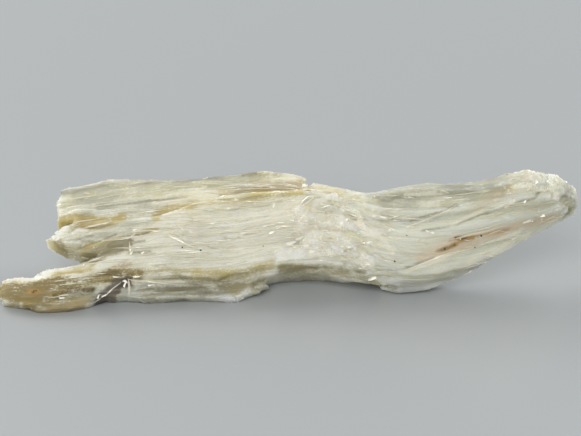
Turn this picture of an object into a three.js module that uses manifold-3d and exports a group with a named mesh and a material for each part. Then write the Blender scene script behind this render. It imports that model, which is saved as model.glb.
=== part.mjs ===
// A hand specimen of leiteite, zinc arsenite: one broken sliver, a bundle of cleavage plates grown together.
// The plates run along X and are stacked up the sliver's broad front face. The whole bundle is twisted:
// its left half leans back on its foot, and its right half turns forward and lifts clear of the surface.
// Millimetres, +Z up, +X along the sliver, -Y the face it shows. It rests on Z = 0.
import * as THREE from "three";
import { mergeVertices } from "three/addons/utils/BufferGeometryUtils.js";
import Module from "manifold-3d";

const wasm = await Module();
wasm.setup();

// Driving dimensions.
const LENGTH = 50; // the grain frame's length, tip to tip
const SEGMENT = 2.7; // length of one straight stretch of a plate
const OVERLAP = 0.016; // how far neighbouring plates bite into each other, as a share of the face's height
const LEDGE = 0.4; // how far one plate's edge may stand proud of the next
const WAVE = 0.12; // how far a plate's edge wanders along its length
const RAGGED = 1.2; // how unevenly the plates of a bundle break off at its ends

// The grain frame: the foot and the crest of the front face, [y, z], at stations spaced evenly from X = -25 to 25.
// Between the two lines the height up the face is a share, 0 at the foot and 1 at the crest.
const FOOT = [
  [-6.5, 0.0],
  [-7.2, 0.0],
  [-6.4, 0.0],
  [-5.6, 0.1],
  [-5.2, 0.1],
  [-4.3, 0.7],
  [-3.6, 0.8],
  [-3.7, 0.0],
  [-3.0, 0.4],
  [-0.8, 2.0],
  [2.0, 4.4],
];
const CREST = [
  [2.6, 5.6],
  [2.9, 6.2],
  [3.1, 7.0],
  [3.2, 7.4],
  [3.2, 7.8],
  [2.8, 8.0],
  [0.8, 7.9],
  [-1.2, 8.4],
  [-2.3, 9.4],
  [-3.0, 10.7],
  [-1.5, 9.6],
];

const stationLine = (points) =>
  new THREE.CatmullRomCurve3(
    points.map(([y, z], i) => new THREE.Vector3(LENGTH * (i / (points.length - 1) - 0.5), y, z)),
    false,
    "catmullrom",
    0.5,
  );
const footLine = stationLine(FOOT);
const crestLine = stationLine(CREST);

// A point of the grain frame: x along the sliver, up the face as a share, and out of the face in millimetres.
function grainPoint(x, up, out) {
  const t = THREE.MathUtils.clamp(x / LENGTH + 0.5, 0, 1);
  const foot = footLine.getPoint(t);
  const face = crestLine.getPoint(t).sub(foot);
  const outward = new THREE.Vector3(0, -face.z, face.y).normalize();
  const point = foot.addScaledVector(face, up).addScaledVector(outward, out);
  return point.setX(x);
}

// A small seeded generator, so that every build gives the same sliver.
function seeded(seed) {
  let state = seed;
  return () => {
    state = (state * 1664525 + 1013904223) % 4294967296;
    return state / 4294967296;
  };
}

function solidOf(geometry) {
  geometry.deleteAttribute("normal");
  geometry.deleteAttribute("uv");
  const merged = mergeVertices(geometry, 1e-4);
  return new wasm.Manifold(
    new wasm.Mesh({
      numProp: 3,
      vertProperties: merged.attributes.position.array,
      triVerts: new Uint32Array(merged.index.array),
    }),
  );
}

// The value of an evenly spaced list at the share t of its length.
function along(list, t) {
  const place = THREE.MathUtils.clamp(t, 0, 1) * (list.length - 1);
  const i = Math.min(Math.floor(place), list.length - 2);
  return THREE.MathUtils.lerp(list[i], list[i + 1], place - i);
}

// One cleavage plate: a long box laid along the grain. It fills the slice between the shares lower and upper of its
// bundle's height, and ledge and recess move its front and its back out of the face. Its four long edges wander on
// their own.
function plate(shape, { from, to, lower, upper, ledge, recess }, random) {
  const { low, high, front, back, taper = [0.7, 0.7] } = shape;
  const steps = Math.max(3, Math.round((to - from) / SEGMENT));
  const box = new THREE.BoxGeometry(1, 1, 1, steps, 1, 1);
  const position = box.attributes.position;
  const phases = Array.from({ length: 8 }, () => random() * Math.PI * 2);
  const skews = Array.from({ length: 8 }, () => (random() - 0.5) * RAGGED);
  for (let i = 0; i < position.count; i++) {
    const t = position.getX(i) + 0.5;
    const top = position.getY(i) > 0;
    const outer = position.getZ(i) > 0;
    const edge = (top ? 2 : 0) + (outer ? 1 : 0);
    const rightEnd = t > 0.5;
    const nearEnd = Math.max(1 - t * steps, 1 - (1 - t) * steps, 0);
    const x = THREE.MathUtils.lerp(from, to, t) + nearEnd * skews[edge + (rightEnd ? 4 : 0)];
    const share = 1 - nearEnd * (1 - taper[rightEnd ? 1 : 0]);
    const wander = WAVE * (Math.sin(x * 0.55 + phases[edge]) + 0.6 * Math.sin(x * 1.3 + phases[edge + 4]));
    const height = along(high, t) - along(low, t);
    const half = ((upper - lower) * height + OVERLAP) * (share / 2);
    const up = along(low, t) + ((lower + upper) / 2) * height + (top ? half : -half) + wander / 10;
    const rear = along(back, t) + recess;
    const out = outer ? rear + (along(front, t) + ledge - rear) * (0.5 + share / 2) : rear;
    position.setXYZ(i, ...grainPoint(x, up, out + wander).toArray());
  }
  return solidOf(box);
}

// A bundle of plates stacked up the face. low and high are its edges up the face, and front and back its faces out
// of the face, each listed along it. taper says how much of a plate's section is left at its left and right ends.
function bundle(shape, plates, seed) {
  const random = seeded(seed);
  const made = [];
  for (let k = 0; k < plates; k++) {
    const slice = {
      from: shape.from + random() * RAGGED,
      to: shape.to - random() * RAGGED,
      lower: k / plates,
      upper: (k + 1) / plates,
      ledge: (random() - 0.5) * 2 * LEDGE,
      recess: (random() - 0.5) * 2 * LEDGE,
    };
    made.push(plate(shape, slice, random));
  }
  return made;
}

// The left half, from the crest down: the crest slab, the iron-stained plate under it that sags and rises again,
// the splintered tongue, the broad face and the face's lower edge.
const leftHalf = [
  ...bundle(
    {
      from: -20.4,
      to: 1.2,
      low: [0.86, 0.76, 0.75, 0.8, 0.87, 0.88],
      high: [0.99, 1.0, 0.98, 0.97, 0.99, 1.04],
      front: [0.1, 0.3],
      back: [-1.8, -1.6],
      taper: [0.7, 0.9],
    },
    3,
    11,
  ),
  ...bundle(
    {
      from: -20.6,
      to: 3.0,
      low: [0.79, 0.68, 0.64, 0.73, 0.8, 0.82],
      high: [0.88, 0.78, 0.76, 0.82, 0.88, 0.9],
      front: [0.9, 1.0, 0.7],
      back: [-3.2, -2.6],
    },
    2,
    12,
  ),
  ...bundle(
    {
      from: -21.2,
      to: -7.5,
      low: [0.53, 0.43, 0.47, 0.5],
      high: [0.74, 0.66, 0.68, 0.72],
      front: [1.2, 1.6],
      back: [-1.4, -3.8, -4.8],
    },
    3,
    13,
  ),
  ...bundle(
    {
      from: -18.2,
      to: 6.5,
      low: [0.4, 0.42, 0.38, 0.4, 0.42],
      high: [0.66, 0.66, 0.8, 0.86, 0.9],
      front: [1.4, 1.4, 1.2],
      back: [-2.4, -4.4, -2.2],
    },
    5,
    14,
  ),
  ...bundle(
    {
      from: -17.2,
      to: 5.0,
      low: [0.27, 0.16, 0.14, 0.2, 0.16],
      high: [0.43, 0.45, 0.42, 0.42, 0.45],
      front: [1.7, 1.9, 1.2],
      back: [-2.2, -2.0],
    },
    4,
    15,
  ),
];

// The lower left: the long splinter that waves out to the tip, the crust on it, the lobe it rests on, the clear
// shard beside that, and the low band along the foot with its crust.
const splinter = [
  ...bundle(
    {
      from: -25.2,
      to: -9.0,
      low: [0.04, 0.03, 0.13, 0.15, 0.19, 0.2],
      high: [0.23, 0.2, 0.27, 0.28, 0.32, 0.34],
      front: [1.4, 1.2, 1.4, 1.9],
      back: [-0.6, -1.8],
      taper: [0.8, 0.5],
    },
    3,
    16,
  ),
  ...bundle(
    {
      from: -22.4,
      to: -13.5,
      low: [0.2, 0.22, 0.26],
      high: [0.28, 0.38, 0.4],
      front: [0.2, 0.7, 1.3],
      back: [-1.4, -2.4],
      taper: [0.4, 0.6],
    },
    2,
    17,
  ),
  ...bundle(
    {
      from: -24.4,
      to: -15.6,
      low: [0.06, -0.02, -0.02, 0.03],
      high: [0.12, 0.1, 0.14, 0.15],
      front: [0.4, 0.9, 0.6],
      back: [-0.9, -1.0],
      taper: [0.3, 0.5],
    },
    2,
    18,
  ),
  ...bundle(
    { from: -17.2, to: -12.9, low: [0.06, 0.0], high: [0.16, 0.24], front: [0.9, 1.4], back: [-0.6, -0.8] },
    2,
    27,
  ),
  ...bundle(
    {
      from: -13.9,
      to: -2.2,
      low: [0.02, 0.0, -0.01, -0.02, 0.08],
      high: [0.2, 0.18, 0.18, 0.18, 0.16],
      front: [1.2, 1.1, 0.6, -0.1],
      back: [-0.8, -1.0],
      taper: [0.7, 0.4],
    },
    3,
    19,
  ),
];

// The elbow, where the stack is crushed and bent: its shaded underside, its core, and short flakes that stand out.
const elbow = [
  ...bundle(
    {
      from: -4.5,
      to: 5.5,
      low: [0.05, 0.09, 0.07, 0.02],
      high: [0.26, 0.28, 0.26, 0.24],
      front: [-0.1, -0.5, -0.3, 0.3],
      back: [-2.6, -2.6],
    },
    2,
    20,
  ),
  ...bundle(
    {
      from: 2.2,
      to: 10.2,
      low: [0.1, 0.03, 0.03, 0.03],
      high: [0.42, 0.42, 0.4, 0.38],
      front: [0.7, 0.9, 0.8],
      back: [-2.0, -2.2],
    },
    3,
    28,
  ),
  ...bundle(
    { from: 0.2, to: 4.6, low: [0.5, 0.62], high: [0.78, 0.9], front: [1.5, 2.0], back: [-1.0, -1.0] },
    2,
    31,
  ),
  ...bundle(
    { from: 2.2, to: 7.4, low: [0.7, 0.46], high: [0.94, 0.72], front: [1.1, 1.7], back: [-1.0, -1.0] },
    2,
    32,
  ),
  ...bundle(
    { from: 1.6, to: 6.0, low: [0.24, 0.34], high: [0.44, 0.56], front: [1.2, 2.0], back: [-1.0, -1.0] },
    2,
    33,
  ),
  ...bundle(
    { from: 4.6, to: 9.0, low: [0.06, 0.16], high: [0.3, 0.36], front: [1.4, 1.2], back: [-1.0, -1.0] },
    2,
    34,
  ),
];

// The right half as it turns forward: five bundles whose ends round off the tip, and the blunt block at the end.
const rightHalf = [
  ...bundle(
    {
      from: 2.2,
      to: 22.8,
      low: [0.84, 0.83, 0.83],
      high: [0.98, 0.98, 0.99, 1.02, 1.04],
      front: [0.1, 0.3],
      back: [-1.6, -1.2],
      taper: [0.7, 0.85],
    },
    3,
    21,
  ),
  ...bundle(
    {
      from: 4.0,
      to: 23.9,
      low: [0.65, 0.62],
      high: [0.86, 0.86, 0.8],
      front: [0.8, 0.9],
      back: [-2.4, -1.7],
      taper: [0.7, 0.85],
    },
    3,
    22,
  ),
  ...bundle(
    {
      from: 3.0,
      to: 25.0,
      low: [0.42, 0.38],
      high: [0.68, 0.62],
      front: [1.2, 1.0],
      back: [-2.6, -1.9],
      taper: [0.7, 0.9],
    },
    3,
    23,
  ),
  ...bundle(
    {
      from: 4.5,
      to: 24.3,
      low: [0.2, 0.26],
      high: [0.45, 0.42],
      front: [1.1, 0.8],
      back: [-2.3, -1.5],
      taper: [0.7, 0.9],
    },
    3,
    24,
  ),
  ...bundle(
    {
      from: 6.5,
      to: 22.6,
      low: [0.0, 0.02, 0.08, 0.17, 0.2],
      high: [0.23, 0.32],
      front: [0.5, 0.3],
      back: [-1.6, -0.8],
      taper: [0.7, 0.8],
    },
    3,
    25,
  ),
  ...bundle(
    {
      from: 19.5,
      to: 25.2,
      low: [0.2, 0.2, 0.26],
      high: [0.96, 0.92, 0.74],
      front: [-0.2, 0.2],
      back: [-1.8, -1.4],
      taper: [0.8, 0.9],
    },
    3,
    35,
  ),
];

// The heel: the stack's hidden back edge, which the left half leans on.
const heel = bundle(
  {
    from: -14.5,
    to: 3.5,
    low: [0.42, 0.42],
    high: [0.62, 0.56],
    front: [-2.0, -1.5],
    back: [-5.4, -5.6],
  },
  3,
  26,
);

// Grown together, the plates are one solid. Where it touches the surface it is worn flat.
const SURFACE_BLOCK = 100;
const surface = new THREE.BoxGeometry(SURFACE_BLOCK, SURFACE_BLOCK, SURFACE_BLOCK);
surface.translate(0, 0, -SURFACE_BLOCK / 2);
const grown = [...leftHalf, ...splinter, ...elbow, ...rightHalf, ...heel]
  .reduce((whole, next) => whole.add(next))
  .subtract(solidOf(surface));
// The outer skin is the shell that holds the most. The voids shut in between plates are left out, so they fill up.
const body = grown.decompose().reduce((most, shell) => (shell.volume() > most.volume() ? shell : most));

const mesh = body.getMesh();
const geometry = new THREE.BufferGeometry();
geometry.setAttribute("position", new THREE.BufferAttribute(mesh.vertProperties, 3));
geometry.setIndex(new THREE.BufferAttribute(mesh.triVerts, 1));
// The origin is the middle of the sliver's box, on the surface that it rests on.
geometry.computeBoundingBox();
const middle = geometry.boundingBox.getCenter(new THREE.Vector3());
geometry.translate(-middle.x, -middle.y, -geometry.boundingBox.min.z);

const leiteite = new THREE.MeshStandardMaterial({ color: 0xdcdacb, roughness: 0.35, metalness: 0 });
const specimen = new THREE.Group();
const cleavageMass = new THREE.Mesh(geometry, leiteite);
cleavageMass.name = "cleavage_mass";
specimen.add(cleavageMass);

export default specimen;
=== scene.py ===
import math
import random

import bmesh
import bpy
import numpy as np
from mathutils import Matrix, Vector, noise
from mathutils.bvhtree import BVHTree


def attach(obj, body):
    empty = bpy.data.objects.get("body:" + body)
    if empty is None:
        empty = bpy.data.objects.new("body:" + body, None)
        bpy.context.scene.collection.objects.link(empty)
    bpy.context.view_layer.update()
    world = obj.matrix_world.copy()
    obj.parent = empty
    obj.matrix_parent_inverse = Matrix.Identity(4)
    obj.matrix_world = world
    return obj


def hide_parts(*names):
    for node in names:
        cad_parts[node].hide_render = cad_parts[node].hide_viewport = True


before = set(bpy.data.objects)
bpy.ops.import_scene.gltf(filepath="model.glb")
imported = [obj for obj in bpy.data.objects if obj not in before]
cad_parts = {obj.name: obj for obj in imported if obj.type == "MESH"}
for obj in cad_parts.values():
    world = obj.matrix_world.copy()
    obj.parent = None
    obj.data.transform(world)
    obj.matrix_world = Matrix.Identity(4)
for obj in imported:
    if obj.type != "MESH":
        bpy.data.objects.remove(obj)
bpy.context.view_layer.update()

# --------------------------------------------------------------------------------------------------
# The cleavage mass. Leiteite splits into thin, pearly plates, and this sliver is a stack of them, grown
# together, twisted along its length and bent at an elbow, and broken out of the ore so that every plate ends
# raggedly. Bundles of plates are made as closed blocks, and the blocks grow together into one skin.

MM = 0.001
LENGTH = 50.0  # mm of grain that the lines below are spaced over, as in the CAD model
STEP = 0.32  # mm along the grain between two points of a plate's edge
END = 1.5  # mm from its broken end, where a plate starts to thin
# The foot and the crest of the front face, (y, z) in mm, evenly spaced along the sliver.
FOOT = (
    (-6.5, 0.0), (-7.2, 0.0), (-6.4, 0.0), (-5.6, 0.1), (-5.2, 0.1), (-4.3, 0.7),
    (-3.6, 0.8), (-3.7, 0.0), (-3.0, 0.4), (-0.8, 2.0), (2.0, 4.4),
)
CREST = (
    (2.6, 5.6), (2.9, 6.2), (3.1, 7.0), (3.2, 7.4), (3.2, 7.8), (2.8, 8.0),
    (0.8, 7.9), (-1.2, 8.4), (-2.3, 9.4), (-3.0, 10.7), (-1.5, 9.6),
)
# The CAD model's origin is the middle of its box, this far from the grain frame's.
SHIFT = Vector((-0.035, 1.513, 0.0))


def on_line(points, x):
    """The (y, z) of a smooth line through evenly spaced points, at x."""
    place = min(max(x / LENGTH + 0.5, 0.0), 1.0) * (len(points) - 1)
    i = min(int(place), len(points) - 2)
    f = place - i
    spot = []
    for axis in (0, 1):
        b, c = points[i][axis], points[i + 1][axis]
        a = points[i - 1][axis] if i else 2 * b - c
        d = points[i + 2][axis] if i + 2 < len(points) else 2 * c - b
        bend = 2 * a - 5 * b + 4 * c - d
        turn = 3 * b - a - 3 * c + d
        spot.append(0.5 * (2 * b + (c - a) * f + bend * f * f + turn * f**3))
    return spot


def face_at(x):
    """The face at x: its foot, the way up it with its full height as length, and the way out of it."""
    foot = Vector((x, *on_line(FOOT, x)))
    rise = Vector((x, *on_line(CREST, x))) - foot
    outward = Vector((0.0, -rise.z, rise.y)).normalized()
    return foot + SHIFT, rise, outward


def grain_point(x, up, out):
    """The place, in metres, x mm along the sliver, a share up the face, and out of it in mm."""
    foot, rise, outward = face_at(x)
    return (foot + rise * up + outward * out) * MM


def grain_of(place):
    """A place's mm along the grain, mm up the face and mm out of it, and its share up the face."""
    spot = place / MM
    foot, rise, outward = face_at(spot.x - SHIFT.x)
    arm = spot - foot
    up = arm.dot(rise) / rise.length
    return Vector((spot.x - SHIFT.x, up, arm.dot(outward))), up / rise.length


def along(values, t):
    """The value of an evenly spaced list at the share t of its length."""
    place = min(max(t, 0.0), 1.0) * (len(values) - 1)
    i = min(int(place), len(values) - 2)
    return values[i] + (values[i + 1] - values[i]) * (place - i)


def wave(size, *place):
    """Soft noise from -size to size."""
    return size * noise.noise(place)


def mesh_object(name, bm):
    """Makes a bmesh an object of the scene."""
    mesh = bpy.data.meshes.new(name)
    bm.to_mesh(mesh)
    bm.free()
    made = bpy.data.objects.new(name, mesh)
    bpy.context.scene.collection.objects.link(made)
    return made


def grid_block(cuts):
    """A unit cube cut evenly along X, Y and Z."""
    bm = bmesh.new()
    bmesh.ops.create_cube(bm, size=1.0)
    for axis, count in enumerate(cuts):
        across = [e for e in bm.edges if abs(e.verts[0].co[axis] - e.verts[1].co[axis]) > 0.5]
        bmesh.ops.subdivide_edges(bm, edges=across, cuts=count)
    return bm


FACE_HEIGHT = 11.0  # mm, near enough for the width of a mark or splinter
EDGE_LINES = (0.05, 0.5, 0.95)  # where a plate's edge has its lines of points, as shares of its thickness
CHIP_GAP = 4.0  # mm of a plate's edge to each chip in it
blocks = []


def bundle(name, ends, low, high, front, back, taper=(0.7, 0.7), plates=10, ledge=0.22, ragged=1.6,
           swell=0.12):
    """One bundle of plates from ends[0] to ends[1] mm along. low and high are its edges as shares up the
    face, and front and back its faces in mm out of it, each listed along it. taper is how much of its height
    is left at either end. ledge is how far its plates stand past each other, ragged how unevenly they end,
    and swell how far its faces wave, in mm."""
    draw = random.Random(name)
    widths = [draw.uniform(0.5, 1.5) for _ in range(plates)]
    edges = [sum(widths[:k]) / sum(widths) for k in range(plates + 1)]
    breaks = [(ragged * draw.random() ** 1.6, ragged * draw.random() ** 1.6) for _ in range(plates)]
    proud = [[draw.uniform(-1, 1) ** 3 * ledge + draw.uniform(-0.2, 0.2) * ledge for _ in range(2)]
             for _ in range(plates)]
    chips = []
    for _ in range(plates):
        spots = sorted(draw.uniform(*ends) for _ in range(int((ends[1] - ends[0]) / CHIP_GAP)))
        chips.append([(spot, draw.uniform(-1, 1) ** 3 * ledge * 1.2) for spot in spots])
    where = draw.uniform(0, 100)
    steps = max(4, round((ends[1] - ends[0]) / STEP))
    lines = plates * len(EDGE_LINES) - 1
    bm = grid_block((steps - 1, 3, lines - 1))
    for v in bm.verts:
        u, w, s = v.co.x + 0.5, v.co.y + 0.5, v.co.z + 0.5
        plate, line = divmod(round(s * lines), len(EDGE_LINES))
        share = edges[plate] + (edges[plate + 1] - edges[plate]) * EDGE_LINES[line]
        jitter = wave(0.5, where + plate * 3.7, line * 2.3, 0.0)
        x0 = ends[0] + breaks[plate][0] + jitter
        x1 = ends[1] - breaks[plate][1] + jitter
        x = x0 + (x1 - x0) * u
        t = (x - ends[0]) / (ends[1] - ends[0])
        bottom, height = along(low, t), along(high, t) - along(low, t)
        middle = bottom + height / 2
        near = max(0.0, 1.0 - min(x - x0, x1 - x) / END)
        left = 1.0 - near * (1.0 - taper[0 if u < 0.5 else 1])
        up = middle + (share - 0.5) * height * left
        up += wave(0.03, x * 0.16, share * 1.2, where) + wave(0.01, x * 0.7, share * 4.0, where)
        chip = sum(size for spot, size in chips[plate] if spot < x)
        soft = wave(swell, x * 0.25, up * 6.0, where) + wave(0.5 * swell, x * 0.8, up * 16.0, where)
        fibre = wave(0.05, x * 0.5, share * lines * 1.7, where)
        face = along(front, t) + proud[plate][0] + chip + soft + fibre
        rear = along(back, t) + proud[plate][1] + 0.6 * chip + wave(swell, x * 0.3, up * 7.0, where + 50.0)
        face = rear + (face - rear) * (0.45 + 0.55 * left)
        v.co = grain_point(x, up, face + (rear - face) * w)
    blocks.append(mesh_object(name, bm))


# The left half, from the crest down.
bundle("crest_slab", (-20.7, 1.5), (0.86, 0.76, 0.75, 0.80, 0.87, 0.88),
       (1.06, 1.065, 1.035, 1.035, 1.045, 1.04), (0.1, 0.3), (-1.8, -1.6), (1.0, 0.85),
       plates=8, ledge=0.12, ragged=0.8)
bundle("stained_plate", (-20.7, 3.0), (0.79, 0.68, 0.64, 0.73, 0.80, 0.82),
       (0.88, 0.78, 0.76, 0.82, 0.88, 0.90), (0.7, 0.7, 0.6), (-3.2, -2.6), plates=4, ledge=0.14)
bundle("tongue", (-21.4, -7.5), (0.57, 0.52, 0.48, 0.47, 0.48, 0.50), (0.68, 0.73, 0.67, 0.67, 0.69, 0.72),
       (0.7, 1.2, 1.4), (-1.2, -3.0, -4.4, -4.8), (0.3, 0.8), plates=9, ledge=0.22, ragged=1.8)
bundle("broad_face", (-18.2, 6.5), (0.40, 0.42, 0.38, 0.40, 0.42), (0.66, 0.66, 0.80, 0.86, 0.90),
       (1.3, 1.4, 1.2), (-2.4, -4.4, -2.2), plates=17, ledge=0.14)
bundle("lower_face", (-17.2, 5.0), (0.27, 0.16, 0.14, 0.20, 0.16), (0.43, 0.45, 0.42, 0.42, 0.45),
       (1.5, 1.6, 1.1), (-2.2, -2.0), plates=11, ledge=0.16)

# The lower left: the splinter that waves out to the tip, the crust on it, its pale lobe and the clear shard.
bundle("splinter", (-25.2, -9.0), (-0.02, 0.01, 0.13, 0.15, 0.19, 0.20), (0.25, 0.24, 0.29, 0.29, 0.32, 0.34),
       (0.8, 1.2, 1.4, 1.9), (-0.6, -1.8), (0.8, 0.5), plates=8, ledge=0.22, ragged=1.2)
bundle("splinter_crust", (-22.6, -13.5), (0.20, 0.22, 0.26), (0.34, 0.35, 0.38),
       (0.2, 0.7, 1.3), (-1.4, -2.4), (0.5, 0.6), plates=5, ledge=0.25, ragged=1.0)
bundle("pale_lobe", (-24.4, -15.6), (0.06, -0.02, -0.02, 0.03), (0.12, 0.10, 0.14, 0.15),
       (0.4, 0.9, 0.6), (-0.9, -1.0), (0.3, 0.5), plates=4, ledge=0.2)
bundle("clear_shard", (-17.2, -12.9), (0.06, 0.00), (0.16, 0.24),
       (0.9, 1.4), (-0.6, -0.8), plates=3, ledge=0.15)
bundle("low_band", (-13.9, -1.6), (0.02, 0.00, -0.01, -0.03, 0.03), (0.20, 0.18, 0.18, 0.18, 0.16),
       (1.1, 1.0, 0.7, 0.2), (-0.8, -1.0), (0.7, 0.5), plates=8, ledge=0.18, ragged=1.2)

# The elbow, where the stack is crushed and bent.
bundle("shaded_bay", (-4.5, 5.5), (0.06, 0.12, 0.10, 0.03), (0.26, 0.28, 0.26, 0.24),
       (0.9, 0.5, 0.2, 0.4), (-2.6, -2.6), plates=6, ledge=0.25)
bundle("elbow", (2.2, 10.2), (0.10, 0.03, 0.03, 0.03), (0.42, 0.42, 0.40, 0.38),
       (0.7, 0.9, 0.8), (-2.0, -2.2), plates=9, ledge=0.3)
bundle("elbow_flake_a", (0.2, 4.6), (0.50, 0.62), (0.78, 0.90), (1.5, 2.0), (-1.0, -1.0), plates=5, ledge=0.4)
bundle("elbow_flake_b", (2.2, 7.4), (0.70, 0.46), (0.94, 0.72), (1.1, 1.7), (-1.0, -1.0), plates=5, ledge=0.4)
bundle("elbow_flake_c", (1.6, 6.0), (0.24, 0.34), (0.44, 0.56), (1.2, 2.0), (-1.0, -1.0), plates=4, ledge=0.4)
bundle("elbow_flake_d", (4.6, 9.0), (0.06, 0.16), (0.30, 0.36), (1.4, 1.2), (-1.0, -1.0), plates=4, ledge=0.4)

# The right half as it turns forward: smoother, thicker plates, and the blunt block at the end.
bundle("right_crest", (1.6, 22.8), (0.84, 0.83, 0.83), (1.02, 1.0, 0.98, 1.04, 1.06, 1.01, 0.97, 0.99, 0.92),
       (0.1, 0.3), (-1.6, -1.2), (0.85, 0.85), plates=5, ledge=0.10, swell=0.06)
bundle("right_upper", (4.0, 23.9), (0.65, 0.62), (0.86, 0.86, 0.80),
       (0.8, 0.9), (-2.4, -1.7), (0.7, 0.85), plates=5, ledge=0.07, swell=0.06)
bundle("right_middle", (3.0, 24.3), (0.42, 0.38), (0.68, 0.62),
       (1.2, 1.0), (-2.6, -1.9), (0.7, 0.9), plates=6, ledge=0.06, swell=0.06)
bundle("right_lower", (4.5, 24.3), (0.20, 0.26), (0.45, 0.42),
       (1.1, 0.8), (-2.3, -1.5), (0.7, 0.9), plates=5, ledge=0.07, swell=0.06)
bundle("right_skirt", (8.0, 22.6), (-0.03, 0.02, 0.11, 0.18, 0.21), (0.23, 0.32),
       (0.7, 0.4, 0.3), (-1.6, -0.8), (0.7, 0.8), plates=5, ragged=1.2, ledge=0.08, swell=0.06)
bundle("end_block", (19.5, 25.4), (0.20, 0.16, 0.10, 0.06), (0.92, 0.92, 0.84, 0.48),
       (-0.2, 0.2), (-1.8, -1.4), (0.8, 0.95), plates=9, ledge=0.16, ragged=0.5)

# The heel: the stack's back edge, which the left half leans back on.
bundle("heel", (-14.5, 3.5), (0.42, 0.42), (0.62, 0.56), (-2.0, -1.5), (-5.4, -5.6), plates=8, ledge=0.3)


def join(solids):
    """One bmesh of all the solids' meshes."""
    bm = bmesh.new()
    for solid in solids:
        bm.from_mesh(solid.data)
    return bm


bm = join(blocks)
surface = BVHTree.FromBMesh(bm)
bm.free()
CLEAR = 12.0  # mm off the face, clear of every plate, where a look for the skin starts
STEEP = 1.3  # mm: nothing is laid where the skin falls away by more than this along it
ROOT = 0.35  # how much of a splinter's height is left at its sunk end
SUNK = 0.6  # mm that a splinter reaches into the skin
EDGE_STEP = 0.12  # mm up a splinter's edge between two of its points


def skin_at(x, share, behind=False):
    """Where the skin lies at a place on the face or behind it, and its normal, or None off the skin."""
    foot, rise, outward = face_at(x)
    way = -outward if behind else outward
    spot, normal, _, _ = surface.ray_cast((foot + rise * share + way * CLEAR) * MM, -way)
    return spot and (spot, normal)


def path_at(path, t):
    """The (mm along, share up) place at the share t of a path."""
    return [along([place[axis] for place in path], t) for axis in (0, 1)]


def splinter(path, tall, lift, behind=False, flip=False):
    """A plate's broken edge, tall mm high, along a path of (mm along, share up) places. It is sunk in at one
    end and stands lift mm proud at the other. flip turns it end for end."""
    spots = [skin_at(*path_at(path, t), behind) for t in (0.1, 0.5, 0.9)]
    if not all(spots):
        return
    levels = [grain_of(spot)[0].z for spot, _ in spots]
    if max(levels) - min(levels) > STEEP:
        return
    where = random.Random(f"{path}").uniform(0, 100)
    way = -1.0 if behind else 1.0
    long = abs(path[-1][0] - path[0][0])
    bm = grid_block((max(4, round(long / STEP)), 0, max(2, round(tall / EDGE_STEP))))
    for v in bm.verts:
        u, w, s = v.co.x + 0.5, v.co.y + 0.5, v.co.z + 0.5
        t = 1.0 - u if flip else u
        left = min(1.0, ROOT + 2.6 * t, 4.0 * (1.0 - t))
        x, share = path_at(path, u)
        x += wave(0.5, where, s * 5.0, t * 0.7) * min(1.0, 2.0 * t)
        share += (s - 0.5) * left * tall / FACE_HEIGHT
        share += wave(0.012, x * 0.6, s * 2.0, where)
        stand = lift * min(1.0, 1.6 * t) - 0.12 * (1.0 - min(1.0, 3.0 * t)) + wave(0.6 * lift, where, s, t)
        v.co = grain_point(x, share, along(levels, u) + way * (stand if w < 0.5 else -SUNK))
    blocks.append(mesh_object("splinter", bm))


def splinters(count, xs, shares, length, tall, lift, slope, behind=False):
    """Strews splinters over the ranges xs and shares of the skin. slope is how many mm across one may run for
    each mm along."""
    draw = random.Random(f"{count} {xs} {shares} {behind}")
    for _ in range(count):
        x, share, long = draw.uniform(*xs), draw.uniform(*shares), draw.uniform(*length)
        rise = draw.uniform(-slope, slope) * long / FACE_HEIGHT
        path = ((x, share), (x + long, share + rise))
        splinter(path, draw.uniform(*tall), draw.uniform(*lift), behind, draw.random() < 0.5)


# The splintered skin: dense on the left half, crushed at the elbow, long and low on the smoother right half.
splinters(130, (-20.0, 1.0), (0.16, 0.97), (1.8, 7.0), (0.25, 0.9), (0.03, 0.12), 0.05)
splinters(30, (-24.5, -14.0), (0.02, 0.32), (1.5, 4.5), (0.25, 0.7), (0.03, 0.14), 0.05)
splinters(30, (-13.5, -4.0), (0.0, 0.18), (1.5, 4.5), (0.2, 0.6), (0.03, 0.14), 0.05)
splinters(26, (-20.5, 0.0), (0.93, 1.0), (1.5, 5.0), (0.15, 0.4), (0.0, 0.08), 0.05)
splinters(70, (0.0, 8.0), (0.1, 0.92), (0.8, 3.0), (0.3, 1.1), (0.05, 0.4), 0.6)
splinters(50, (6.0, 16.0), (0.05, 0.98), (3.0, 8.0), (0.4, 1.3), (0.02, 0.07), 0.03)
splinters(40, (17.0, 22.4), (0.1, 1.0), (0.8, 2.4), (0.3, 0.9), (0.03, 0.14), 0.2)
splinters(110, (-20.0, 16.0), (0.1, 0.95), (2.0, 8.0), (0.3, 1.2), (0.04, 0.3), 0.06, behind=True)
# The tongue's ragged tip and the small peak on the crest's right end.
splinters(16, (-21.3, -17.6), (0.42, 0.60), (0.8, 2.6), (0.2, 0.5), (0.04, 0.25), 0.3)
splinters(8, (20.2, 21.2), (0.92, 1.0), (0.6, 1.3), (0.3, 0.6), (0.05, 0.3), 0.5)
# Two long splinters under the right half.
splinter(((7.5, 0.18), (8.8, 0.19), (10.1, 0.23), (11.4, 0.29), (13.2, 0.36)), 0.22, 0.1)
splinter(((13.0, 0.36), (14.5, 0.40), (16.2, 0.41), (20.0, 0.44)), 0.18, 0.08)
# Broad flakes standing across each other at the elbow.
splinters(36, (0.6, 7.4), (0.28, 0.78), (0.8, 2.4), (0.4, 1.1), (0.1, 0.35), 1.6)

VOXEL = 0.152  # mm, the cells of the skin, fine enough for a thin plate's edge


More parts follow.
